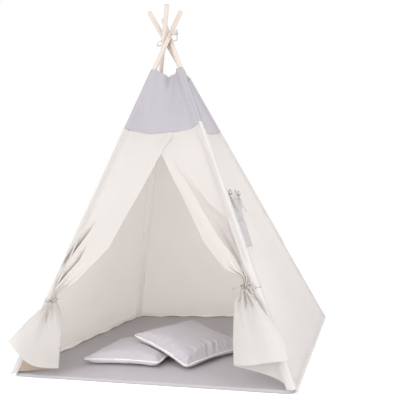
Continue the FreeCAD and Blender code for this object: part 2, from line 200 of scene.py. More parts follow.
# The very foot of a wall, beside the mat: its dark colour is painted shade, and no light passes
ECRU_HEM_PAINTED_SHADE = cloth("Ecru cotton canvas, hem in painted shade", "#c9c5c2", "#c2bdb9")
# Edges turned to the inside, three layers thick: no light passes. A faint glow, and on the seam allowance a
# brighter colour, are painted light, standing for light that filters in between the layers.
ECRU_SEAM_PAINTED_LIGHT = cloth("Ecru cotton canvas, seam allowance", "#fbf9f5", "#f5f2ed", painted_glow=0.11)
ECRU_TURN_PAINTED_LIGHT = cloth("Ecru cotton canvas, turned hem", "#f4f0ed", "#eeeae6", painted_glow=0.05)
# Cloth that hangs behind other cloth or curls under: its warm, dull, dark colour is painted shade.
ECRU_BEHIND_PAINTED_SHADE = cloth("Ecru cotton canvas, back of the skirt in painted shade", "#a39282", "#9a8979")
ECRU_UNDER_PAINTED_SHADE = cloth("Ecru cotton canvas, in its own shade", "#a89c92", "#998d84")
# Yarn-dyed canvas of the top band: heavier, cool grey with a touch of lilac; it lets little light through.
GREY = cloth("Lilac-grey cotton canvas", "#bab6bb", "#b1adb2", daylight=0.25)
# Dyed cotton of the mat and the cushions, filled from inside: opaque, smooth and matt.
MAT_CLOTH = cloth("Mat cotton", "#b3afb3", "#a6a2a6")
CUSHION_CLOTH = cloth("Cushion cotton", "#bcb8bc", "#b0acb0")
CUSHION_UNDER = cloth("Ecru cushion backing", "#ebe7e6", "#ddd8d6")
# Bleached bias tape sewn round a cord: a thin bright line along each seam.
PIPING = cloth("White cotton piping", "#f1eeec", "#e2ddd9")
# Thin dyed poplin of the pocket: neutral grey and almost opaque.
POCKET_CLOTH = cloth("Pocket cotton", "#b3afaf", "#a8a3a3", daylight=0.1)
# Woven tape with a coarser rib than the canvas. Drawn tight in a knot it shades itself, so the knot's darker
# colour is painted shade.
RIBBON = cloth("Cotton ribbon", "#bdb4af", "#aaa19c", relief=0.6)
RIBBON_KNOT_PAINTED_SHADE = cloth("Cotton ribbon, knot in painted shade", "#8a817d", "#766e6a", relief=0.6)
RIBBON_GREY = cloth("Grey cotton ribbon", "#8d8786", "#7b7574", relief=0.6)
# Three-strand laid cotton rope: soft, matt, the lay of its strands in its shape and only fuzz on its surface.
ROPE = cloth("Cotton rope", "#cdc3bb", "#b9aea5", relief=0.15)


# ---------------------------------------------------------------- curves
def smooth(t):
    """0 below 0, 1 above 1, and eased in between by 3 t^2 - 2 t^3."""
    t = np.clip(t, 0, 1)
    return t * t * (3 - 2 * t)


def arch(t):
    """Half a sine wave: 0 at 0 and 1, and 1 halfway."""
    return np.sin(np.pi * t)


def ridge(distance, width):
    """A bell curve: 1 at no distance, and about a third of that at its width."""
    return np.exp(-((distance / width) ** 2))


def unit(vectors):
    """The same vectors at length one."""
    return vectors / np.linalg.norm(vectors, axis=-1, keepdims=True)


def points(*coordinates):
    """Points with these coordinates, each spread over the whole grid."""
    return np.stack(np.broadcast_arrays(*coordinates), axis=-1)


def through(knots, t):
    """Smooth curve through knots (rows) at t from 0 to 1, by Catmull-Rom pieces of equal share."""
    p = np.asarray(knots, float)
    p = np.vstack([2 * p[0] - p[1], p, 2 * p[-1] - p[-2]])
    s = np.clip(np.asarray(t, float), 0, 1) * (len(p) - 3)
    i = np.minimum(s.astype(int), len(p) - 4)
    f = (s - i)[..., None]
    a, b, c, d = p[i], p[i + 1], p[i + 2], p[i + 3]
    return 0.5 * (2 * b + (c - a) * f + (2 * a - 5 * b + 4 * c - d) * f**2 + (3 * b - a - 3 * c + d) * f**3)


def by_height(knots, z):
    """x at heights z on straight runs between knots (x, z), given upwards or downwards."""
    k = np.array(sorted(knots, key=lambda knot: knot[1]), float)
    return np.interp(z, k[:, 1], k[:, 0])


# ---------------------------------------------------------------- meshes
def quads_of(rows, cols, wrap):
    """Faces between neighbours in a grid of points; wrap closes it round along its rows or its columns."""
    r = np.arange(rows if wrap[0] else rows - 1)[:, None]
    c = np.arange(cols if wrap[1] else cols - 1)[None, :]
    r2, c2 = (r + 1) % rows, (c + 1) % cols
    return np.stack([r * cols + c, r * cols + c2, r2 * cols + c2, r2 * cols + c], axis=-1)


def corners_of(mesh):
    """The point that each corner of each face stands on."""
    index = np.empty(len(mesh.loops), np.int32)
    mesh.loops.foreach_get("vertex_index", index)
    return index


def piece_of(name, places, faces, cut=None):
    """A smooth piece of these points and faces; cut is where each point lies on the flat cloth."""
    mesh = bpy.data.meshes.new(name)
    mesh.from_pydata(places.tolist(), [], faces.tolist())
    mesh.polygons.foreach_set("use_smooth", np.ones(len(faces), bool))
    flat = mesh.uv_layers.new(name="Cut")
    if cut is not None:
        flat.data.foreach_set("uv", cut[corners_of(mesh)].astype(np.float32).ravel())
    obj = bpy.data.objects.new(name, mesh)
    bpy.context.scene.collection.objects.link(obj)
    return obj


def mesh_from(name, grid, cut, material, wrap=(False, False), thick=None, parts=(), **shading):
    """A piece through a grid of points, rows by columns.

    thick gives the sheet its thickness, shared to both sides. parts are pairs of where, true for the faces
    meant, and their material; the last that holds counts. shading gives the attributes Stitch, for seams, and
    Fold, for painted shade in creases.
    """
    rows, cols = grid.shape[:2]
    faces = quads_of(rows, cols, wrap)
    obj = piece_of(name, grid.reshape(-1, 3), faces.reshape(-1, 4), cut.reshape(-1, 2))
    mesh = obj.data
    for key, value in shading.items():
        line = mesh.attributes.new(key.capitalize(), "FLOAT", "POINT")
        line.data.foreach_set("value", np.broadcast_to(value, (rows, cols)).astype(np.float32).ravel())
    mesh.materials.append(material)
    index = np.zeros(faces.shape[:2], np.int32)
    for number, (where, other) in enumerate(parts, 1):
        mesh.materials.append(other)
        index[np.broadcast_to(where, index.shape)] = number
    mesh.polygons.foreach_set("material_index", index.ravel())
    if thick:
        solid = obj.modifiers.new("Cloth thickness", "SOLIDIFY")
        solid.thickness = thick
        solid.offset = 0.0
        solid.use_even_offset = False
    return obj


def patches(name, grids, material, first=None):
    """One piece from several grids, each closed round along its columns; first is the first's material."""
    faces, count = [], 0
    for grid in grids:
        rows, cols = grid.shape[:2]
        faces.append(quads_of(rows, cols, (False, True)).reshape(-1, 4) + count)
        count += rows * cols
    obj = piece_of(name, np.vstack([grid.reshape(-1, 3) for grid in grids]), np.vstack(faces))
    mesh = obj.data
    mesh.materials.append(material)
    if first:
        mesh.materials.append(first)
        index = (np.arange(len(mesh.polygons)) < len(faces[0])).astype(np.int32)
        mesh.polygons.foreach_set("material_index", index)
    return obj


def cord_grid(path, radius, sides=10, closed=False):
    """Round cord along a path: rings square to it, each starting square to the same steep direction."""
    path = np.asarray(path, float)
    way = unit(np.roll(path, -1, 0) - np.roll(path, 1, 0) if closed else np.gradient(path, axis=0))
    a = unit(np.cross(way, [0.3, 0.2, 0.93]))
    b = np.cross(way, a)
    theta = np.linspace(0, 2 * np.pi, sides, endpoint=False)[None, :, None]
    return path[:, None] + radius * (np.cos(theta) * a[:, None] + np.sin(theta) * b[:, None])


def ribbon_grid(path, normal, width, thick=0.0007):
    """Flat ribbon along a path: a thin oblong section of ten points, square to the path and facing normal."""
    path = np.asarray(path, float)
    way = unit(np.gradient(path, axis=0))
    across = unit(np.cross(way, normal))
    up = np.cross(across, way)
    s = np.array([-1, -0.5, 0, 0.5, 1, 1, 0.5, 0, -0.5, -1]) * width / 2
    h = np.array([1, 1, 1, 1, 1, -1, -1, -1, -1, -1]) * thick / 2
    return path[:, None] + s[None, :, None] * across[:, None] + h[None, :, None] * up[:, None]


def bead_grid(centre, radius, squeeze=(1, 0.8, 1)):
    """A small knot's body: a ball with three shallow grooves twisting round it."""
    lean = np.linspace(-np.pi / 2, np.pi / 2, 14)[:, None]
    turn = np.linspace(0, 2 * np.pi, 20, endpoint=False)[None, :]
    r = radius * (1 + 0.12 * np.sin(3 * turn + 4 * lean))
    p = points(r * np.cos(lean) * np.cos(turn), r * np.cos(lean) * np.sin(turn), r * np.sin(lean))
    return np.asarray(centre) + p * np.array(squeeze)


def place(obj, body, nodes):
    """Puts a piece on its body, in place of the solids it stands for."""
    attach(obj, body)
    if nodes:
        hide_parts(*nodes)


def gather(obj):
    """Gives a piece its own copy of its mesh."""
    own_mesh(obj)


# ---------------------------------------------------------------- where the poles and walls are
def pole_at(name, z):
    """Points of a pole's axis at heights z: the straight line from its foot to its place in the crossing."""
    angle = math.radians(ANGLES[name])
    step = HOLE_STEP if name in ("front_left", "rear_right") else -HOLE_STEP
    hub = np.array([-math.sin(angle) * SWIRL, math.cos(angle) * SWIRL, HUB_Z + step])
    foot = np.array([math.cos(angle) * HALF * math.sqrt(2), math.sin(angle) * HALF * math.sqrt(2), FOOT_Z])
    t = (np.asarray(z, float) - FOOT_Z) / (hub[2] - FOOT_Z)
    return foot + (hub - foot) * t[..., None]


def outward(side):
    """Outward normal of a wall."""
    angle = math.radians(SIDES[side])
    return unit(np.array([math.sin(angle), -math.cos(angle), SLOPE]))


def level_way(side):
    """Level direction along a wall, to the right seen from outside."""
    angle = math.radians(SIDES[side])
    return np.array([math.cos(angle), math.sin(angle), 0])


def swell(distance):
    """How far a panel stands out where it runs over a sleeve: tangent to it, then down to its own plane."""
    return (SLEEVE_R + 0.0006) * (1 - smooth((distance - 0.004) / 0.032))


def wall_point(side, share, z, out=0.0):
    """Point of a wall at a share of its width between its two sleeves, at height z and out in front of it."""
    gap = 0.001
    z = np.asarray(z, float)
    left, right = (pole_at(p, z) for p in CORNERS[side])
    way = unit(right - left)
    left, right = left + way * gap, right - way * gap
    share, out = np.asarray(share, float)[..., None], np.asarray(out, float)[..., None]
    return left + (right - left) * share + outward(side) * out


def wall_ends(side, z):
    """How far along a wall its two edges lie from its middle, at heights z."""
    return [wall_point(side, share + 0 * z, z) @ level_way(side) for share in (0, 1)]


def share_of(side, x, z):
    """The share of a wall's width at distance x along it from its middle."""
    left, right = wall_ends(side, np.asarray(z, float))
    return (x - left) / (right - left)


# ---------------------------------------------------------------- sleeves
SLEEVE_SEAMS = {"front_left": 1.026, "front_right": 1.004, "rear_right": 1.022, "rear_left": SEAM_Z}
SLEEVE_TOPS = {"front_left": 1.300, "front_right": 1.291, "rear_right": 1.288, "rear_left": 1.288}


def panel_way(side, name, z):
    """Level unit vectors along a wall, away from one of its poles."""
    other = [c for c in CORNERS[side] if c != name][0]
    way = pole_at(other, z) - pole_at(name, z)
    way[..., 2] = 0
    return unit(way)


def make_sleeve(name):
    """Cloth channel round a pole, where two walls are sewn together.

    Its section is a drop: an arc outside the pole, flanks under the edges of the two walls, and inside the
    tent two narrow flat faces that meet in one crisp corner line. It is closed at the foot and turned in
    round the pole at the top. Its cloth puckers round the arc in a small sine wave.
    """
    arc_count, flank_count, face_count = 17, 7, 9
    first = [side for side in SIDES if CORNERS[side][0] == name][0]
    second = [side for side in SIDES if CORNERS[side][1] == name][0]
    z = np.linspace(SLEEVE_FOOT, SLEEVE_TOPS[name], 200)
    centre = pole_at(name, z)[:, None, :]
    ways = [panel_way(side, name, z)[:, None, :] for side in (first, second)]
    outs = [outward(side) for side in (first, second)]

    turn = np.linspace(0, 1, arc_count)[None, :, None]
    bend = math.acos(outs[0] @ outs[1])
    round_out = (np.sin((1 - turn) * bend) * outs[0] + np.sin(turn * bend) * outs[1]) / math.sin(bend)
    pucker = 0.0004 * np.sin(z * 47 + ANGLES[name])[:, None, None] * arch(turn)
    arc = (SLEEVE_R - 0.0006 + pucker) * round_out
    d = np.linspace(0.003, 0.0195, flank_count)[None, :, None]
    flanks = [ways[k] * d + outs[k] * (swell(d) - 0.0022) for k in (0, 1)]
    t = np.linspace(0, 1, face_count)[None, :, None]
    edges = [ways[k] * 0.0200 + outs[k] * 0.0040 for k in (0, 1)]
    inner = (ways[0] + ways[1]) * 0.0090
    faces = [edge + (inner - edge) * t for edge in edges]
    ring = np.concatenate([arc, flanks[1], faces[1], faces[0][:, ::-1][:, 1:], flanks[0][:, ::-1]], axis=1)

    foot = pole_at(name, np.array(SLEEVE_FOOT)) + 0 * ring[:1]
    shoulder = foot + ring[:1] * 0.97 - [0, 0, 0.0006]
    lip = pole_at(name, np.array(SLEEVE_TOPS[name])) + unit(ring[-1:]) * 0.0114
    grid = np.concatenate([foot, shoulder, centre + ring, lip, lip - [0, 0, 0.02]])
    around = np.linalg.norm(np.diff(ring[0], axis=0, append=ring[0][:1]), axis=-1)
    cut = points(np.cumsum(around)[None, :], grid[:, :1, 2] * SLEEVE_LENGTH)

    column = np.arange(grid.shape[1])[None, :]
    allowance = arc_count + flank_count  # the first column of the two inner faces
    corner = allowance + face_count - 1
    high = grid[:-1, :1, 2] > SLEEVE_SEAMS[name]
    inside = (column >= allowance) & (column < allowance + 2 * (face_count - 1)) & ~high
    # Painted on the sleeve: its outer cloth a shade deeper as shade, and its inner faces a brighter colour
    # with a faint glow as light
    sleeve = mesh_from("Sleeve_" + name, grid, cut, ECRU_DOUBLE_PAINTED_SHADE, (False, True), thick=SLEEVE_THICK,
                       parts=[(high, GREY), (inside, ECRU_SEAM_PAINTED_LIGHT)],
                       stitch=0.8 * np.clip(1 - np.abs(column - corner) / 1.5, 0, 1))
    place(sleeve, "leg_" + name, ["sleeve_" + name])


for pole in ANGLES:
    make_sleeve(pole)


# ---------------------------------------------------------------- walls and band
def panel_grid(side, x_count, z_count, top, low, relief):
    """Grid of a panel between two sleeves, closer at its edges, which rise over the sleeves.

    top and low give its edges' heights by share of its width, relief how far it stands out.
    """
    share = np.linspace(0, 1, x_count)[None, :]
    share = share - np.sin(2 * np.pi * share) * 0.09
    drop = np.linspace(0, 1, z_count)[:, None]
    z = top(share) + (low(share) - top(share)) * drop
    share = np.broadcast_to(share, z.shape)
    x = wall_point(side, share, z) @ level_way(side)
    left, right = wall_ends(side, z)
    over = swell(x - left) + swell(right - x)
    grid = wall_point(side, share, z, relief(share, x, z) * (1 - over / SLEEVE_R * 0.95) + over)
    return grid, points(x, z * WALL_LENGTH), z


def bow(share, ends, sag):
    """A shallow parabola between two ends at one height, lower by sag in the middle."""
    return ends - sag * 4 * share * (1 - share)


def seam_line(side, share):
    """Height of the seam between a wall and its band."""
    knots = {
        "front": [1.024, 1.006, 0.986, 0.979, 0.977, 0.980, 0.990],
        "right": [0.968, 0.974, 0.983, 1.0, 1.020],
    }
    if side not in knots:
        return bow(share, SEAM_Z, 0.042)
    return through(np.array(knots[side])[:, None], share)[..., 0]


def wall_relief(seed):
    def relief(share, x, z):
        """A slack sheet: it hangs in between its poles in long soft waves that fade towards the seam.

        At its foot it is thicker by the turned hem and flares out a little.
        """
        low = smooth((SEAM_Z - z) / 0.9)
        out = -0.010 * arch(share) * (0.3 + low)
        out += 0.004 * low * np.sin(7 * share * np.pi + seed) * arch(share)
        out += 0.003 * np.sin(11 * x + 6 * z + seed * 2) * arch(share)
        hem = 0.0012 * (1 - smooth((z - 0.016) / 0.002))
        flare = 0.0075 * smooth((0.045 - z) / 0.03)
        return out * smooth((z - 0.01) / 0.12) + hem + flare
    return relief


def make_turned_hem(side, seed):
    """The allowance turned in along a wall's foot, which hangs off the wall a little, just over the mat.

    The edge's height wanders by a product of two sine waves and a third, finer one. Its lowest part, more of
    it in some places than in others, curls under and is coloured in painted shade; the rest has a faint
    painted glow.
    """
    share = np.linspace(0.016, 0.984, 160)[None, :]
    t = np.linspace(0, 1, 25)[:, None]
    x = share - 0.5
    wave = 0.0035 * np.sin(x * 41 + seed) * np.sin(x * 17 + 2 * seed) + 0.0015 * np.sin(x * 97 + seed)
    z = 0.032 - (0.0165 - wave) * t
    # Below this share of its height the hem is painted in shade
    painted_shade_from = 0.70 + 0.16 * np.sin(x * 33 + seed) * np.sin(x * 12 + 2 * seed)
    out = -0.0012 - (0.0105 + 0.8 * wave) * smooth(t * 1.05) ** 1.5
    return mesh_from("Hem_" + side, wall_point(side, share + 0 * z, z, out), points(x, z), ECRU_TURN_PAINTED_LIGHT,
                     thick=SLEEVE_THICK, parts=[(t[:-1] > painted_shade_from[:, :-1], ECRU_UNDER_PAINTED_SHADE)])


def make_wall(side, seed):
    """Wall from the band's seam to the floor, doubled at its very foot, which is painted in shade, with its
    turned hem inside.
    """
    grid, cut, z = panel_grid(side, 120, 130, lambda share: seam_line(side, share),
                              lambda share: bow(share, 0.003, 0.0), wall_relief(seed))
    # Its foot, below 14.5 mm, is painted in shade
    wall = mesh_from("Wall_" + side, grid, cut, ECRU, thick=WALL_THICK,
                     parts=[(z[:-1, :-1] < 0.0145, ECRU_HEM_PAINTED_SHADE)])
    place(wall, "cover_" + side, ["wall_" + side])
    gather(wall)
    turned = make_turned_hem(side, seed)
    place(turned, "cover_" + side, [])
    gather(turned)


for wall_side, wave_start in (("right", 0.4), ("rear", 1.9), ("left", 3.1)):
    make_wall(wall_side, wave_start)


def front_rim(share):
    """Height of the front band's rim: level at its left end, dipping to a pinched pleat, and up again."""
    knots = [(0, 1.296), (0.10, 1.297), (0.22, 1.292), (0.36, 1.284), (0.46, 1.277), (0.54, 1.272),
             (0.64, 1.273), (0.76, 1.280), (0.90, 1.288), (1.0, 1.290)]
    k = np.array(knots)
    return np.interp(share, k[:, 0], k[:, 1])


def side_rim(share):
    """Height of the other bands' rims: a shallow sag."""
    return bow(share, RIM_Z - 0.004, 0.026)


def band_relief(share, x, z):
    """Soft upright waves between the sleeves."""
    return -0.004 * arch(share) + 0.0028 * np.sin(5 * np.pi * share + 1.2) * arch(share)


def front_band_relief(share, x, z):
    """The same waves, with a pleat folded inwards where the rim is drawn together.

    From the pleat a broad fold runs down to each side, standing out on the left and lying back on the right.
    """
    middle = 0.015 + 0.05 * (1.26 - z)
    narrow = 0.0035 + 0.006 * smooth((z - 1.17) / 0.09)
    out = band_relief(share, x, z)
    out += -0.014 * smooth((z - 1.165) / 0.10) * ridge(x - middle, narrow)
    out += 0.004 * smooth((z - 1.10) / 0.14) * ridge(x - middle - 0.018, 0.010)
    out += 0.013 * ridge(x + 0.045 + 0.13 * (1.27 - z), 0.026) * smooth((z - 0.99) / 0.1)
    out -= 0.013 * ridge(x - 0.050 - 0.13 * (1.27 - z), 0.030) * smooth((z - 0.99) / 0.1)
    return out


def make_band(side, rim, relief):
    """Band of grey cloth from its sagging rim to the seam."""
    grid, cut, _ = panel_grid(side, 90, 90, rim, lambda share: seam_line(side, share), relief)
    band = mesh_from("Band_" + side, grid, cut, GREY, thick=BAND_THICK)
    place(band, "cover_" + side, ["band_" + side])
    gather(band)


make_band("front", front_rim, front_band_relief)
for band_side in ("right", "rear", "left"):
    make_band(band_side, side_rim, band_relief)


# ---------------------------------------------------------------- door flaps
def loft(rows, counts):
    """Sheet through rows of knots, each with the same number: smooth across them and then down them."""
    rows = np.asarray(rows, float)
    across = through(rows.transpose(1, 0, 2).reshape(rows.shape[1], -1), np.linspace(0, 1, counts[1]))
    across = across.reshape(counts[1], rows.shape[0], 3).transpose(1, 0, 2)
    return through(across.reshape(rows.shape[0], -1), np.linspace(0, 1, counts[0])).reshape(*counts, 3)


def gathered_part(pole, free, tie_z, creases, lift, relief, seed):
    """The flap above its tie: level rows from the sleeve to the free edge, closing in on the bundle near it.

    Each row stands out by the flap's own relief and creases, and by the sleeve it runs over; near the tie it
    is laid in sine pleats. Returns the points, the painted shade along its creases, and the pleats.
    """
    sign = 1 if pole == "front_left" else -1
    u = np.linspace(0, 1, FLAP_COLUMNS)[None, :]
    centre_x = pole_at(pole, np.array(tie_z))[0] + sign * BUNDLE_ASIDE
    z = SEAM_Z + (tie_z + 0.014 - SEAM_Z) * np.linspace(0, 1, 130)[:, None]
    edge = pole_at(pole, z[:, 0])[:, 0][:, None]
    close = smooth((tie_z + 0.100 - z) / 0.085)
    start = edge * (1 - close) + (centre_x - sign * 0.012) * close
    late = smooth((tie_z + 0.060 - z) / 0.046)
    end = by_height(free, z) * (1 - late) + (centre_x + sign * 0.012) * late
    x = start + (end - start) * u
    zz = np.broadcast_to(z, x.shape).copy()
    middle = np.clip(share_of("front", x, zz), 0, 1)
    zz += (seam_line("front", middle) - SEAM_Z) * smooth((z - 0.85) / 0.15)

    distance = np.abs(x - edge)
    over = swell(distance) * (1 - close)
    out = (lift + relief(u, x, zz)) * (1 - close) * (1 - over / SLEEVE_R * 0.95) + over
    # folded is painted shade: how dark each point is made along a crease
    hollow, folded = creases(distance, zz)
    out = out + hollow * (1 - close) * smooth((distance - 0.0125) / 0.006)
    pleats = np.sin(u * 2 * np.pi * 3.5 + seed)
    out = out + smooth((tie_z + 0.20 - z) / 0.19) ** 2 * 0.010 * pleats * arch(u) ** 0.4
    out = out + close * 0.011
    return wall_point("front", share_of("front", x, zz), zz, out), folded, pleats


def hanging_part(centre, sign, drape, pleats, seed):
    """The neck inside the tie and the skirt below it.

    The neck is a narrow loop, front over back. The skirt is lofted through the drape's rows of knots, drawn
    into the neck at the top, with sine creases that fade downwards and one soft fold down its front.
    """
    u = np.linspace(0, 1, FLAP_COLUMNS)
    w = np.linspace(0, 1, SKIRT_ROWS)[:, None]
    neck = centre + points(sign * 0.012 * np.interp(u, [0, 0.4, 1], [-1, 1, -0.6]),
                           np.interp(u, [0, 0.4, 1], [0.006, 0.0, -0.014]) - 0.003 * pleats[0], -0.004)
    hang = loft(drape, (SKIRT_ROWS, FLAP_COLUMNS))
    pull = smooth(1 - w * 4.2)[..., None]
    hang = hang * (1 - pull) + (neck[None] + (hang - hang[:1]) * 0.9) * pull
    crease = ridge(w - 0.20, 0.26) * smooth(w * 8)
    hang[..., 1] -= 0.0075 * crease * np.sin(u * 2 * np.pi * 6.5 + seed)
    hang[..., 1] -= 0.004 * smooth(w * 2) * np.sin(u * 2 * np.pi * 3 + seed)
    hang[..., 1] += 0.012 * ridge(u - 0.66 + 0.10 * w, 0.022) * smooth(w * 5) * smooth((0.62 - w) / 0.4)
    return np.concatenate([neck[None], hang[1:]])


def skirt_painted_shade():
    """Painted shade where a skirt is doubled on itself below the tie: one line down its front, one beside the
    door.
    """
    u = np.linspace(0, 1, FLAP_COLUMNS)[None, :]
    w = np.linspace(0, 1, SKIRT_ROWS)[:, None]
    front = 0.7 * ridge(u - 0.675 + 0.10 * w, 0.011) * smooth(w * 9) * smooth((0.42 - w) / 0.2)
    return front + 0.5 * ridge(u - 0.385, 0.006) * smooth((0.34 - w) / 0.1)


def make_flap(pole, free, tie_z, drape, creases, lift, relief, seed):
    """One sheet from the band's seam through the tie to the skirt that hangs below it.

    free is its free edge above the tie, drape the skirt's rows of knots: from the sleeve, behind, round the
    fold beside the door and back in front to the free edge.
    """
    sign = 1 if pole == "front_left" else -1
    centre = pole_at(pole, np.array(tie_z)) + np.array([sign * BUNDLE_ASIDE, -BUNDLE_AHEAD, 0])
    upper, folded, pleats = gathered_part(pole, free, tie_z, creases, lift, relief, seed)
    grid = np.concatenate([upper, hanging_part(centre, sign, drape, pleats, seed)])
    step = np.linalg.norm(np.diff(grid, axis=0), axis=-1)
    run = np.concatenate([np.zeros((1, FLAP_COLUMNS)), np.cumsum(step, axis=0)])
    cut = points(np.linspace(0, 0.6, FLAP_COLUMNS)[None, :], -run)
    row = np.arange(len(grid) - 1)[:, None]
    column = np.arange(FLAP_COLUMNS - 1)[None, :]
    # Below the tie the flap takes the skirts' canvas, painted a shade darker as shade
    parts = [(row >= len(upper), ECRU_SKIRT_PAINTED_SHADE)]
    # The back of the left skirt is painted in shade, a warm dark colour
    if sign > 0:  # the left skirt's back shows below its front
        parts.append(((row >= len(upper) + 62) & (column < FLAP_COLUMNS * 2 // 5), ECRU_BEHIND_PAINTED_SHADE))
    name = "Door_flap_" + pole.removeprefix("front_")
    # The Fold attribute paints shade into the creases above the tie and along the doubled lines of the skirt
    flap = mesh_from(name, grid, cut, ECRU, thick=WALL_THICK, parts=parts,
                     fold=np.concatenate([folded, skirt_painted_shade()]))
    place(flap, "cover_front", [name.lower()])
    gather(flap)


def left_relief(u, x, z):
    """The left flap above its tie: nearly flat, a little slack towards the door."""
    return -0.004 * arch(u) * smooth((SEAM_Z - z) / 0.3)


def left_creases(distance, z):
    """Two hollows that run down to the tie, each soft on its sleeve's side and sharp on the other, and
    painted shade along each.
    """
    first = by_height([(0.008, 0.40), (0.011, 0.455), (0.019, 0.496), (0.025, 0.517), (0.040, 0.561),
                       (0.062, 0.62)], z)
    second = by_height([(0.014, 0.345), (0.022, 0.38), (0.032, 0.404), (0.043, 0.425), (0.057, 0.453),
                        (0.068, 0.50), (0.078, 0.56)], z)
    out = folded = 0
    for line, top, foot, depth in ((first, 0.63, 0.43, 0.016), (second, 0.53, 0.36, 0.018)):
        off = distance - line
        fade = smooth((top - z) / 0.08) * smooth((z - 0.325) / 0.03)
        out = out - depth * fade * ridge(off, np.where(off < 0, 0.012, 0.006))
        # Painted shade along the hollow, sharp on its far side
        shade = smooth((top - z) / 0.10) * smooth((z - foot + 0.02) / 0.05)
        folded = folded + shade * ridge(off, np.where(off < 0, 0.008, 0.0025))
    return out, folded


def right_creases(distance, z):
    """Fine pull lines above the right tie, from the sleeve towards the knot, with a little painted shade
    beside each.
    """
    deep = smooth((0.62 - z) / 0.16) * smooth((z - 0.35) / 0.03)
    line = by_height([(0.024, 0.37), (0.040, 0.45), (0.060, 0.55), (0.085, 0.66)], z)
    return -0.006 * deep * ridge(distance - line, 0.008), 0.18 * deep * ridge(distance - line - 0.004, 0.005)


def right_relief(u, x, z):
    """The right flap: its free edge turned back as a lapel, then a long hollow, then a crest."""
    crest = by_height([(0.052, 0.898), (0.178, 0.717), (0.238, 0.642), (0.333, 0.569), (0.368, 0.498),
                       (0.402, 0.440), (0.420, 0.371), (0.428, 0.33)], z)
    lapel = by_height([(0.038, 0.891), (0.103, 0.811), (0.168, 0.719), (0.230, 0.618), (0.298, 0.512),
                       (0.362, 0.433), (0.403, 0.358), (0.415, 0.33)], z)
    t = (x - lapel) / np.maximum(crest + 0.016 - lapel, 0.02)
    inside = np.where((t > 0) & (t < 1), arch(np.clip(t, 0, 1)) ** 0.8, 0)
    near_tie = smooth((z - 0.34) / 0.05)
    hollow = -0.036 * inside * smooth((0.84 - z) / 0.44) * near_tie
    turned = 0.010 * smooth((lapel - x) / 0.006 + 0.5) * smooth((x - lapel + 0.060) / 0.030)
    return hollow + turned * smooth((0.88 - z) / 0.12) * near_tie


FLAP_COLUMNS = 180
SKIRT_ROWS = 90
LEFT_FREE = [
    (0.066, 1.0), (0.063, 0.963), (0.044, 0.936), (0.028, 0.906), (0.020, 0.879), (0.008, 0.858),
    (-0.042, 0.757), (-0.106, 0.642), (-0.179, 0.500), (-0.235, 0.446), (-0.260, 0.424), (-0.327, 0.361),
    (-0.371, 0.321), (-0.40, 0.305),
]
RIGHT_FREE = [
    (-0.030, 1.0), (0.0, 0.93), (0.020, 0.885), (0.039, 0.854), (0.082, 0.773), (0.149, 0.656),
    (0.236, 0.496), (0.324, 0.392), (0.375, 0.358), (0.395, 0.345),
]
# Rows of a skirt from the tie down: three knots behind, three round the fold beside the door, three in front
LEFT_DRAPE = [
    [(-0.427, -0.455, 0.288), (-0.418, -0.456, 0.288), (-0.408, -0.458, 0.288),
     (-0.398, -0.470, 0.288), (-0.402, -0.484, 0.288), (-0.409, -0.490, 0.288),
     (-0.416, -0.486, 0.289), (-0.422, -0.490, 0.291), (-0.430, -0.486, 0.295)],
    [(-0.484, -0.494, 0.205), (-0.448, -0.485, 0.210), (-0.398, -0.488, 0.215),
     (-0.345, -0.515, 0.222), (-0.362, -0.538, 0.222), (-0.398, -0.548, 0.222),
     (-0.426, -0.530, 0.225), (-0.452, -0.548, 0.236), (-0.478, -0.530, 0.246)],
    [(-0.516, -0.532, 0.115), (-0.470, -0.520, 0.120), (-0.405, -0.522, 0.125),
     (-0.334, -0.548, 0.135), (-0.358, -0.570, 0.133), (-0.405, -0.578, 0.134),
     (-0.450, -0.574, 0.142), (-0.490, -0.580, 0.166), (-0.524, -0.560, 0.198)],
    [(-0.548, -0.562, 0.022), (-0.490, -0.550, 0.022), (-0.415, -0.548, 0.030),
     (-0.336, -0.568, 0.046), (-0.360, -0.584, 0.047), (-0.400, -0.592, 0.051),
     (-0.455, -0.594, 0.064), (-0.512, -0.596, 0.096), (-0.566, -0.584, 0.150)],
]
RIGHT_DRAPE = [
    [(0.422, -0.440, 0.312), (0.414, -0.441, 0.312), (0.404, -0.442, 0.312),
     (0.393, -0.454, 0.312), (0.397, -0.468, 0.312), (0.404, -0.474, 0.312),
     (0.411, -0.470, 0.313), (0.417, -0.474, 0.315), (0.425, -0.470, 0.319)],
    [(0.452, -0.462, 0.272), (0.432, -0.460, 0.274), (0.408, -0.462, 0.277),
     (0.371, -0.482, 0.284), (0.389, -0.504, 0.281), (0.413, -0.512, 0.279),
     (0.430, -0.506, 0.279), (0.444, -0.508, 0.283), (0.456, -0.500, 0.288)],
    [(0.482, -0.488, 0.225), (0.450, -0.480, 0.230), (0.415, -0.484, 0.235),
     (0.373, -0.512, 0.242), (0.398, -0.536, 0.242), (0.424, -0.546, 0.242),
     (0.446, -0.540, 0.245), (0.466, -0.544, 0.256), (0.482, -0.530, 0.262)],
    [(0.520, -0.530, 0.125), (0.475, -0.520, 0.135), (0.425, -0.524, 0.145),
     (0.376, -0.548, 0.165), (0.398, -0.570, 0.166), (0.440, -0.580, 0.168),
     (0.480, -0.578, 0.172), (0.515, -0.580, 0.182), (0.540, -0.565, 0.192)],
    [(0.553, -0.562, 0.026), (0.505, -0.556, 0.046), (0.445, -0.560, 0.068),
     (0.379, -0.572, 0.087), (0.402, -0.588, 0.091), (0.445, -0.596, 0.099),
     (0.490, -0.598, 0.106), (0.530, -0.596, 0.112), (0.562, -0.584, 0.116)],
]
make_flap("front_left", LEFT_FREE, 0.296, LEFT_DRAPE, left_creases, 0.0042, left_relief, 0.6)
make_flap("front_right", RIGHT_FREE, 0.330, RIGHT_DRAPE, right_creases, 0.0, right_relief, 2.1)


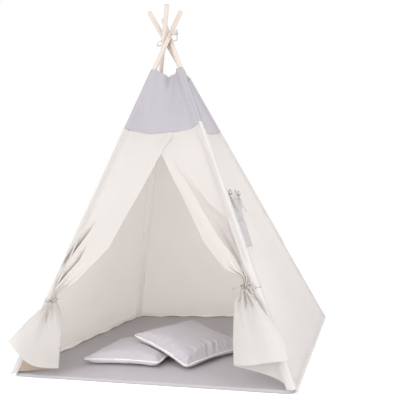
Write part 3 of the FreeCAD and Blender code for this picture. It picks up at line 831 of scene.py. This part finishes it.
# ---------------------------------------------------------------- mat
def four_sides(run, turn):
    """A closed outline: the points of one side, and the same points turned by one, two and three turns."""
    sides = []
    for k in range(4):
        c, s = math.cos(k * turn), math.sin(k * turn)
        sides.append(run @ np.array([[c, s], [-s, c]]))
    return np.vstack(sides)


def make_mat():
    """Padded mat: rings from the middle of its underside round the bound edge to the middle of its top.

    The outline is a square with rounded corners. The edge is a narrow binding; the top is flat with faint
    sine ripples that grow where the mat is pushed into the rear left corner.
    """
    half, corner = 0.5680, 0.026
    t = np.linspace(-1, 1, 60, endpoint=False)
    bend = np.linspace(-np.pi / 2, 0, 6)
    straight = points(t * (half - corner), -half)
    rounded = points(half - corner + corner * np.cos(bend), -half + corner + corner * np.sin(bend))
    outline = four_sides(np.vstack([straight, rounded]), np.pi / 2)
    under, binding, top = 9, 10, 61  # rings in each part of the section
    shares = np.concatenate([[0.001], np.linspace(0.1, 0.99, under - 1),
                             [0.995, 0.999, 1.0, 1.0, 0.9995, 0.997], np.linspace(0.992, 0.97, 4),
                             np.linspace(0.955, 0.02, top - 1), [0.001]])
    heights = np.concatenate([np.full(under, 0.0002), [0.0004, 0.0018, 0.004, 0.007, 0.0092, 0.0108],
                              [0.0116, 0.0119, 0.0117, 0.0113], np.full(top, 0.0115)])
    x = outline[None, :, 0] * shares[:, None]
    y = outline[None, :, 1] * shares[:, None]
    near = smooth(1 - np.hypot(x + 0.56, y - 0.56) / 0.45)
    ripple = 0.0006 * np.sin(31 * x + 9 * y) * np.sin(23 * y - 5 * x)
    ripple += 0.0022 * near * np.sin(70 * (x - y) + 3 * np.sin(20 * x))
    inner_rings = np.arange(len(shares))[:, None] > under + binding
    grid = points(x, y, heights[:, None] + inner_rings * ripple)
    mat = mesh_from("Floor_mat", grid, grid[..., :2], MAT_CLOTH, (False, True))
    place(mat, "mat", ["floor_mat"])


make_mat()


# ---------------------------------------------------------------- cushions
def cushion_form(length, width, thick):
    """Square cushion of two panels: sides drawn in between pointed corners, full in the middle.

    Each ring is the outline shrunk towards the middle; its height is the product of two arches across the
    square, steeper underneath, where the filling sags over the seam.
    """
    along = np.linspace(-1, 1, 24, endpoint=False)
    outline = four_sides(points(along, 1.0), -np.pi / 2)
    lean = np.linspace(-np.pi / 2, np.pi / 2, 40)[:, None]
    share = np.abs(np.cos(lean)) ** 0.55
    share[0] = share[-1] = 0.004
    u, v = outline[None, :, 0] * share, outline[None, :, 1] * share
    x = u * length / 2 * (1 - 0.050 * (1 - v**2) * u**2)
    y = v * width / 2 * (1 - 0.050 * (1 - u**2) * v**2)
    top = (np.clip(1 - u**2, 0, 1) * np.clip(1 - v**2, 0, 1)) ** 0.62
    under = (np.clip(1 - u**4, 0, 1) * np.clip(1 - v**4, 0, 1)) ** 0.40
    return points(x, y, np.where(lean > 0, top, -under) * thick / 2)


def places_of(obj):
    """Where a piece's points are, as rows."""
    co = np.empty(len(obj.data.vertices) * 3, np.float32)
    obj.data.vertices.foreach_get("co", co)
    return co.reshape(-1, 3).astype(float)


def settle_mesh(obj):
    """Replaces a piece's mesh by what its modifiers make of it."""
    view = bpy.context.evaluated_depsgraph_get()
    made = bpy.data.meshes.new_from_object(obj.evaluated_get(view))
    obj.modifiers.clear()
    obj.data = made


def puff(obj, cap):
    """Fills a cushion with air as cloth, so that it wrinkles at the seam; no point moves more than cap."""
    even = obj.modifiers.new("Even cloth", "REMESH")
    even.mode = "VOXEL"
    even.voxel_size = 0.006
    settle_mesh(obj)
    before = places_of(obj)
    fabric = obj.modifiers.new("Filling", "CLOTH").settings
    fabric.quality = 6
    fabric.mass = 0.2
    fabric.tension_stiffness = fabric.compression_stiffness = 18
    fabric.shear_stiffness = 4
    fabric.bending_stiffness = 0.08
    fabric.use_pressure = True
    fabric.uniform_pressure_force = 4.0
    fabric.effector_weights.gravity = 0.0
    scene = bpy.context.scene
    for step in range(1, 21):
        scene.frame_set(step)
    settle_mesh(obj)
    scene.frame_set(1)
    move = places_of(obj) - before
    size = np.linalg.norm(move, axis=1, keepdims=True)
    after = before + move * np.minimum(1, cap / np.maximum(size, 1e-9))
    obj.data.vertices.foreach_set("co", after.astype(np.float32).ravel())
    obj.data.update()


def seam_of(co):
    """The cushion's seam: its outermost point in each direction, smoothed a little."""
    heading = np.arctan2(co[:, 1], co[:, 0])
    far = np.hypot(co[:, 0], co[:, 1])
    steps = np.linspace(-np.pi, np.pi, 181)[:-1]
    gap = np.abs((heading[None, :] - steps[:, None] + np.pi) % (2 * np.pi) - np.pi)
    out = np.where(gap < 0.04, far[None, :], 0).max(axis=1)
    out = (np.roll(out, 1) + 2 * out + np.roll(out, -1)) / 4
    return points(np.cos(steps) * out, np.sin(steps) * out, 0)


def press(co, over):
    """Pushes points down under the piece over them, found on a grid of 6 mm cells, but not into the mat."""
    if over is None:
        return co
    cell = 0.006
    keys = np.floor(over[:, :2] / cell).astype(int)
    base = keys.min(axis=0) - 1
    span = keys.max(axis=0) - keys.min(axis=0) + 3
    ceiling = np.full(span, np.inf)
    np.minimum.at(ceiling, tuple((keys - base).T), over[:, 2])
    for shift in ((0, 1), (1, 0), (0, -1), (-1, 0)):
        ceiling = np.minimum(ceiling, np.roll(ceiling, shift, (0, 1)))
    here = np.clip(np.floor(co[:, :2] / cell).astype(int) - base, 0, span - 1)
    co = co.copy()
    co[:, 2] = np.minimum(co[:, 2], np.maximum(ceiling[tuple(here.T)] - 0.0025, 0.014))
    return co


def slacken(co, size, folds, seed):
    """Short puckers along a filled cushion's seam, slack waves near one side, and a flattened underside.

    Puckers and waves are sines, swayed by a slower sine, under a bell curve of distance.
    """
    p = np.array(co, float)
    u, v = np.abs(p[:, 0]) / size[0] * 2, np.abs(p[:, 1]) / size[1] * 2
    near_seam = ridge(np.maximum(u, v) - 0.88, 0.09) * (p[:, 2] > 0)
    along = np.where(u > v, p[:, 1], p[:, 0])
    pucker = np.sin(along * 210 + 2 * np.sin(along * 63 + seed)) * np.sin(along * 37 + seed)
    p[:, 2] += 0.0022 * near_seam * pucker
    slack = ridge(p[:, 0] - 0.130, 0.042) * (p[:, 2] > 0) * smooth((p[:, 1] + 0.13) / 0.06)
    across = p[:, 1] + 0.30 * (p[:, 0] - 0.1) + 0.008 * np.sin(p[:, 0] * 90)
    wave = np.sin(across * 215 + 1.8 * np.sin(across * 61 + seed)) * (0.6 + 0.4 * np.sin(across * 47 + 1.0))
    p[:, 2] += folds * slack * wave
    flat_low = -size[2] * 0.43
    p[:, 2] = np.where(p[:, 2] < flat_low, flat_low + (p[:, 2] - flat_low) * 0.25, p[:, 2])
    return p


def set_down(p, tip, turn, at):
    """Points tipped about Y, turned about Z and moved."""
    c, s = math.cos(tip), math.sin(tip)
    p = p @ np.array([[c, 0, -s], [0, 1, 0], [s, 0, c]])
    c, s = math.cos(turn), math.sin(turn)
    return p @ np.array([[c, s, 0], [-s, c, 0], [0, 0, 1]]) + at


def make_cushion(name, size, folds, turn, tip, at, cap, seed, over=None):
    """A cushion filled, creased, tipped and set down: grey above, ecru underneath, with piping in the seam.

    folds is how high the slack of its top stands in creases near one side; over holds the points of a piece
    that lies on it and presses it down. Returns the cushion's points.
    """
    body = name.lower()
    form = cushion_form(*size)
    obj = mesh_from(name, form, form[..., :2], CUSHION_CLOTH, (False, True))
    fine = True
    if fine:
        puff(obj, cap)
    co = places_of(obj)
    co[:, :2] *= np.array(size[:2]) / (co[:, :2].max(axis=0) - co[:, :2].min(axis=0))
    laid, path = (press(set_down(slacken(p, size, folds, seed), tip, turn, at), over)
                  for p in (co, seam_of(co)))

    mesh = obj.data
    corners = corners_of(mesh)
    starts, totals = (np.empty(len(mesh.polygons), np.int32) for _ in range(2))
    mesh.polygons.foreach_get("loop_start", starts)
    mesh.polygons.foreach_get("loop_total", totals)
    height = np.add.reduceat(co[corners, 2], starts) / totals
    mesh.vertices.foreach_set("co", laid.astype(np.float32).ravel())
    mesh.materials.clear()
    mesh.materials.append(CUSHION_CLOTH)
    mesh.materials.append(CUSHION_UNDER)
    mesh.polygons.foreach_set("material_index", (height < 0).astype(np.int32))
    mesh.polygons.foreach_set("use_smooth", np.ones(len(mesh.polygons), bool))
    if "Cut" not in mesh.uv_layers:
        mesh.uv_layers.new(name="Cut")
    mesh.uv_layers["Cut"].data.foreach_set("uv", co[corners, :2].astype(np.float32).ravel())
    mesh.update()
    if fine:
        finer = obj.modifiers.new("Finer", "SUBSURF")
        finer.levels = finer.render_levels = 1
    place(obj, body, [body])
    cord = cord_grid(path, 0.0022, closed=True)
    piping = mesh_from(name + "_piping", cord, cord[..., :2], PIPING, (True, True))
    place(piping, body, [])
    return laid


upper_cushion = make_cushion("Cushion_right", (0.342, 0.337, 0.060), 0.0045, math.radians(-28.7),
                             math.radians(11.8), np.array([0.085, -0.217, 0.0735]), 0.012, 2.9)
make_cushion("Cushion_left", (0.342, 0.328, 0.052), 0.0, 0.0, 0.0, np.array([-0.143, -0.262, 0.0400]),
             0.010, 0.7, over=upper_cushion)


# ---------------------------------------------------------------- pocket
POCKET_TOP = 0.668
POCKET_MOUTH = 0.566
POCKET_BOTTOM = 0.466


def pocket_spot(x, z, out):
    """Point on the right wall: x runs along it from its middle towards the rear."""
    p = points(x, -(HUB_Z - z) * SLOPE, z) + outward("front") * (np.asarray(out, float)[..., None])
    return np.stack([-p[..., 1], p[..., 0], p[..., 2]], axis=-1)


def pocket_left(z):
    """The pocket's left edge, a little way from the pole."""
    off = [(0.046, 0.670), (0.034, 0.610), (0.024, 0.563), (0.026, 0.460)]
    return pole_at("front_left", np.asarray(z, float))[..., 0] + by_height(off, z)


def pocket_width(z):
    """The pocket's width, which narrows downwards."""
    return by_height([(0.160, 0.670), (0.146, 0.610), (0.136, 0.563), (0.116, 0.460)], z)


def make_pocket():
    """Hanging pocket: a back panel that droops between its ribbons, and a pouch that bows out at its mouth.

    Both stand off the wall by an arch across their width and a small sine wave.
    """
    u = np.linspace(0, 1, 30)[None, :]
    z = POCKET_TOP - (POCKET_TOP - POCKET_BOTTOM) * np.linspace(0, 1, 44)[:, None]
    x = pocket_left(z) + pocket_width(z) * u
    droop = 0.010 * arch(u) * smooth((z - 0.61) / 0.05)
    out = 0.0048 + 0.0014 * np.sin(9 * u + 20 * z) * arch(u) + 0.002 * arch(u)
    back = mesh_from("Pocket_back", pocket_spot(x, z - droop, out), points(x, z), POCKET_CLOTH,
                     thick=POCKET_THICK)
    place(back, "pocket", ["pocket_back"])

    z = POCKET_MOUTH - (POCKET_MOUTH - POCKET_BOTTOM - 0.001) * np.linspace(0, 1, 40)[:, None]
    x = pocket_left(z) + pocket_width(z) * u
    open_up = smooth((z - POCKET_BOTTOM) / 0.09)
    out = 0.0070 + 0.010 * arch(u) ** 0.8 * open_up + 0.0008 * np.sin(14 * u + 31 * z)
    pouch = mesh_from("Pocket_pouch", pocket_spot(x, z - 0.004 * arch(u) * open_up, out), points(x, z),
                      POCKET_CLOTH, thick=POCKET_THICK)
    place(pouch, "pocket", ["pocket_pouch"])
    gather(back)
    gather(pouch)


def make_pocket_tie(end, inset, aside):
    """Ribbon from the pocket's corner to a bow on the wall: a short stem, then two loops and two tails."""
    low = pocket_left(0.662) + inset
    knot = np.array([low + aside, 0.676])
    stem = [(-aside, -0.022), (-aside / 2, -0.010), (0, 0)]
    loops = [[(0, 0), (-0.022, 0.002), (-0.036, 0.014), (-0.018, 0.019), (0, 0)],
             [(0, 0), (0.020, 0.000), (0.038, 0.010), (0.026, 0.019), (0, 0)]]
    tails = [[(0, 0), (-0.008, -0.022), (-0.022, -0.036), (-0.026, -0.058)],
             [(0, 0), (0.012, -0.018), (0.008, -0.046), (0.018, -0.074)]]
    t = np.linspace(0, 1, 28)
    parts = []
    for run, bulge in ((stem, 0.0), *((loop, 0.004) for loop in loops), *((tail, 0.0) for tail in tails)):
        line = through(np.array(run) + knot, t)
        path = pocket_spot(line[:, 0], line[:, 1], 0.011 + bulge * arch(t))
        parts.append(ribbon_grid(path, outward("right"), 0.0055))
    parts.append(bead_grid(pocket_spot(knot[0], knot[1], 0.012), 0.0042))
    tie = patches("Pocket_tie_" + end, parts, RIBBON_GREY)
    place(tie, "pocket", ["pocket_tie_" + end])
    gather(tie)


make_pocket()
make_pocket_tie("left", 0.010, 0.004)
make_pocket_tie("right", 0.142, 0.010)


# ---------------------------------------------------------------- door ties
def make_door_tie(pole, z, loops, tails):
    """Ribbon round the pole's sleeve and the gathered flap, knotted in a small bow at the front.

    The band runs along a stadium outline, half round the sleeve and half round the flap. loops and tails are
    given from the knot: sideways, out in front, and up.
    """
    sign = 1 if pole == "front_left" else -1
    post = pole_at(pole, np.array(z))
    bundle = post + [sign * BUNDLE_ASIDE, -BUNDLE_AHEAD, 0]
    t = np.linspace(0, 2 * np.pi, 60, endpoint=False)
    along = unit(bundle - post)
    square = np.array([-along[1], along[0], 0]) * sign
    round_flap = np.cos(t)[:, None] > 0
    radius = np.where(round_flap, 0.0155, 0.0165)
    path = np.where(round_flap, bundle, post)
    path = path + radius * (np.cos(t)[:, None] * along + np.sin(t)[:, None] * square)
    path = (np.roll(path, 1, 0) + 2 * path + np.roll(path, -1, 0)) / 4
    path[:, 2] = z + 0.004 * np.sin(t + 0.6)
    facing = (path - (post + bundle) / 2) * [1, 1, 0]
    band = ribbon_grid(np.vstack([path, path[:2]]), np.vstack([facing, facing[:2]]), 0.0060)

    knot = bundle + [-sign * 0.004, -0.0185, 0.001]
    parts = [bead_grid(knot, 0.0050, (1.1, 0.8, 1.1)), band]
    t = np.linspace(0, 1, 36)
    for loop in loops:
        spot = np.array(loop)
        ahead = knot + spot * [0.55, 1.5, 1.0] + [0, 0, 0.006]
        back = knot + spot * [0.6, 0.7, 0.4] - [0, 0, 0.005]
        line = through([knot, ahead, knot + spot, back, knot], t)
        parts.append(ribbon_grid(line, [0.1, 0.55, 0.83], 0.0036))
    for tail in tails:
        line = through([knot, *[knot + p for p in tail]], t)
        parts.append(ribbon_grid(line, [0.5, -1, 0.3], 0.0038))
    side = pole.removeprefix("front_")
    # The knot's bead is painted in shade, a darker copy of the ribbon
    tie = patches("Door_tie_" + side, parts, RIBBON, RIBBON_KNOT_PAINTED_SHADE)
    place(tie, "leg_" + pole, ["door_tie_" + side])


make_door_tie("front_left", 0.296, [(0.040, -0.012, 0.012), (-0.018, -0.010, 0.010)],
              [[(0.010, -0.010, -0.018), (0.024, -0.030, -0.050), (0.026, -0.050, -0.088)],
               [(0.004, -0.012, -0.016), (0.012, -0.034, -0.042), (0.010, -0.048, -0.066)]])
make_door_tie("front_right", 0.332, [(-0.044, -0.010, -0.004), (0.034, -0.010, 0.012)],
              [[(-0.010, -0.012, -0.022), (-0.022, -0.034, -0.060), (-0.030, -0.050, -0.100)],
               [(0.012, -0.010, -0.016), (0.022, -0.024, -0.036), (0.022, -0.034, -0.054)]])


# ---------------------------------------------------------------- rope at the crossing
ROPE_R = 0.0025
ROPE_STEP = 0.0012  # between rings along a strand
ROPE_ROUTE = [  # from the knot through two holes, round the crossing on the left, through two, and back
    (0.050, -0.001, 1.47416), (0.046, -0.019, 1.46996), (0.02878, -0.02878, 1.46296),
    (-0.02878, 0.02878, 1.46296), (-0.051, 0.017, 1.44796), (-0.052, -0.015, 1.44036),
    (-0.02878, -0.02878, 1.45736), (0.02878, 0.02878, 1.45736), (0.048, 0.020, 1.46336),
    (0.049, 0.005, 1.47316),
]


def route_line(route):
    """Points along a smooth spline through the rope's route."""
    data = bpy.data.curves.new("Route", "CURVE")
    data.dimensions = "3D"
    data.resolution_u = 24
    spline = data.splines.new("NURBS")
    spline.points.add(len(route) - 1)
    for knot, spot in zip(spline.points, route):
        knot.co = (*spot, 1)
    spline.order_u = 3
    spline.use_endpoint_u = True
    obj = bpy.data.objects.new("Route", data)
    bpy.context.scene.collection.objects.link(obj)
    bpy.context.view_layer.update()
    mesh = bpy.data.meshes.new_from_object(obj)
    line = np.array([v.co for v in mesh.vertices])
    bpy.data.objects.remove(obj)
    return line


def evenly(path, step):
    """The same path in points one step apart."""
    gaps = np.linalg.norm(np.diff(path, axis=0), axis=1)
    run = np.concatenate([[0], np.cumsum(gaps)])
    at = np.arange(0, run[-1], step)
    return np.stack([np.interp(at, run, path[:, k]) for k in range(3)], axis=-1)


def strands(path, radius):
    """Three-strand laid rope: three cords winding round the path, one turn for each 20 mm."""
    path = evenly(path, ROPE_STEP)
    way = unit(np.gradient(path, axis=0))
    a = np.empty_like(path)
    a[0] = unit(np.cross(way[0], [0.2, 0.1, 1.0]))
    for i in range(1, len(path)):  # ring by ring, the frame is carried along without twist
        a[i] = unit(a[i - 1] - way[i] * (a[i - 1] @ way[i]))
    b = np.cross(way, a)
    turn = np.arange(len(path)) * ROPE_STEP / 0.020 * 2 * np.pi
    grids = []
    for k in range(3):
        phase = (turn + k * 2 * np.pi / 3)[:, None]
        centre = path + radius * 0.46 * (np.cos(phase) * a + np.sin(phase) * b)
        grids.append(cord_grid(centre, radius * 0.56, 8))
    return grids


def make_rope():
    """The rope through the four holes, and its knot: both ends wound round and tucked in.

    The knot is a helix of 3.6 turns with one more turn across it, over a bead, and two short tails.
    """
    rope = patches("Crossing_rope", strands(route_line(ROPE_ROUTE), ROPE_R), ROPE)
    place(rope, "lashing", ["crossing_rope"])

    knot = np.array([0.0455, -0.010, 1.4850])
    axis = unit(np.array([0.90, 0.40, 0.10]))
    a = unit(np.cross(axis, [0, 0, 1]))
    b = np.cross(axis, a)
    t = np.linspace(0, 1, 240)[:, None]
    wind = t * 2 * np.pi * 3.6
    r = 0.0066 + 0.0008 * np.sin(2 * wind)
    coil = knot + axis * ((t - 0.50) * 0.026) + r * (np.cos(wind) * a + np.sin(wind) * b)
    turn = t[:, 0] * 2 * np.pi
    round_it = points(0.012 * np.cos(turn), 0.006 * np.sin(turn) - 0.002, 0.0085 * np.sin(turn))
    over = knot - axis * 0.004 + round_it
    parts = [bead_grid(knot, 0.0085, (1.5, 1.0, 1.0)), *strands(coil, 0.0038), *strands(over, 0.0034)]
    t = np.linspace(0, 1, 30)
    for end in (ROPE_ROUTE[0], ROPE_ROUTE[-1]):  # the two runs up into the knot
        parts += strands(through([end, np.array(end) + [0.003, -0.003, 0.006], knot], t), 0.0028)
    for tail in ((0.018, -0.007, 0.005), (0.015, 0.009, -0.009)):
        parts += strands(through([knot, knot + np.array(tail) * 0.6 + [0, 0, 0.002], knot + tail], t), ROPE_R)
    tied = patches("Rope_knot", parts, ROPE)
    place(tied, "lashing", ["rope_knot"])


make_rope()


# ---------------------------------------------------------------- poles
def finish_poles():
    """Pine on the four poles, its grain along each."""
    for name in ANGLES:
        foot, rim = pole_at(name, np.array([FOOT_Z, RIM_Z]))
        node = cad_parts["pole_" + name]
        node.data.materials.clear()
        wood = pine("Pine pole " + name.replace("_", " "), Vector(rim - foot).normalized(), Vector(foot))
        node.data.materials.append(wood)


# ---------------------------------------------------------------- floor, light and camera
def make_floor():
    """Wide white floor, matt; where it is seen it glows a little, to stay as white as the backdrop."""
    mesh = bpy.data.meshes.new("Studio_floor")
    mesh.from_pydata([(-9, -9, 0), (9, -9, 0), (9, 9, 0), (-9, 9, 0)], [], [(0, 1, 2, 3)])
    floor = bpy.data.objects.new("Studio_floor", mesh)
    bpy.context.scene.collection.objects.link(floor)
    # Matt painted floor: even white without any shine
    mat, tree, shader = surface("Matt white floor", 1.0)
    shader.inputs["Base Color"].default_value = tone("#f6f6f6")
    shader.inputs["Specular IOR Level"].default_value = 0.0
    lift = add(tree, "Emission", {"Color": (1, 1, 1, 1), "Strength": 0.22})
    lifted = add(tree, "AddShader", {0: shader.outputs[0], 1: lift.outputs[0]})
    seen = add(tree, "LightPath").outputs["Is Camera Ray"]
    both = add(tree, "MixShader", {0: seen, 1: shader.outputs[0], 2: lifted.outputs[0]})
    tree.links.new(both.outputs[0], tree.nodes["Material Output"].inputs["Surface"])
    mesh.materials.append(mat)


def make_light(name, at, watts):
    """A soft square light, 3 m across, turned to the tent's middle."""
    data = bpy.data.lights.new(name, "AREA")
    data.shape = "SQUARE"
    data.size = 3.0
    data.energy = watts
    light = bpy.data.objects.new(name, data)
    light.location = at
    light.rotation_euler = (Vector((0, 0, 0.6)) - Vector(at)).to_track_quat("-Z", "Y").to_euler()
    bpy.context.scene.collection.objects.link(light)


def make_world():
    """Even light from all round, seen itself as plain white."""
    world = bpy.data.worlds.new("Even light")
    world.use_nodes = True
    tree = world.node_tree
    back = tree.nodes["Background"]
    back.inputs["Color"].default_value = (0.99, 0.99, 1.01, 1)
    back.inputs["Strength"].default_value = 1.50
    seen = add(tree, "Background", {"Color": (1, 1, 1, 1), "Strength": 1.0})
    path = add(tree, "LightPath")
    rays = path.outputs["Is Camera Ray"]
    for kind in ("Is Glossy Ray", "Is Transmission Ray"):
        rays = add(tree, "Math", {0: rays, 1: path.outputs[kind]}, operation="MAXIMUM").outputs[0]
    mix = add(tree, "MixShader", {0: rays, 1: back.outputs[0], 2: seen.outputs[0]})
    tree.links.new(mix.outputs[0], tree.nodes["World Output"].inputs["Surface"])
    bpy.context.scene.world = world


def make_camera():
    """Camera low beside the door, 2.2 m from the tent's middle, turned to the left and rolled a little."""
    yaw, pitch, roll = (math.radians(a) for a in (-22.27, 0.13, -4.33))
    ahead = Vector((math.sin(yaw) * math.cos(pitch), math.cos(yaw) * math.cos(pitch), math.sin(pitch)))
    side = Vector((math.cos(yaw), -math.sin(yaw), 0))
    up = side.cross(ahead)
    right = math.cos(roll) * side + math.sin(roll) * up
    top = -math.sin(roll) * side + math.cos(roll) * up
    data = bpy.data.cameras.new("Camera")
    data.sensor_width = 36
    data.lens = 41.931
    data.shift_x = 0.061
    data.shift_y = 0.0632
    cam = bpy.data.objects.new("Camera", data)
    turn = Matrix((right, top, -ahead)).transposed()
    cam.matrix_world = Matrix.Translation((0.8214, -2.0773, 0.5667)) @ turn.to_4x4()
    bpy.context.scene.collection.objects.link(cam)
    bpy.context.scene.camera = cam


make_floor()
make_light("Key light", (-0.9, -4.4, 1.4), 52)
make_light("Fill light", (4.2, -1.6, 2.6), 36)
make_world()
make_camera()
finish_poles()
bpy.context.scene.view_settings.view_transform = "Standard"
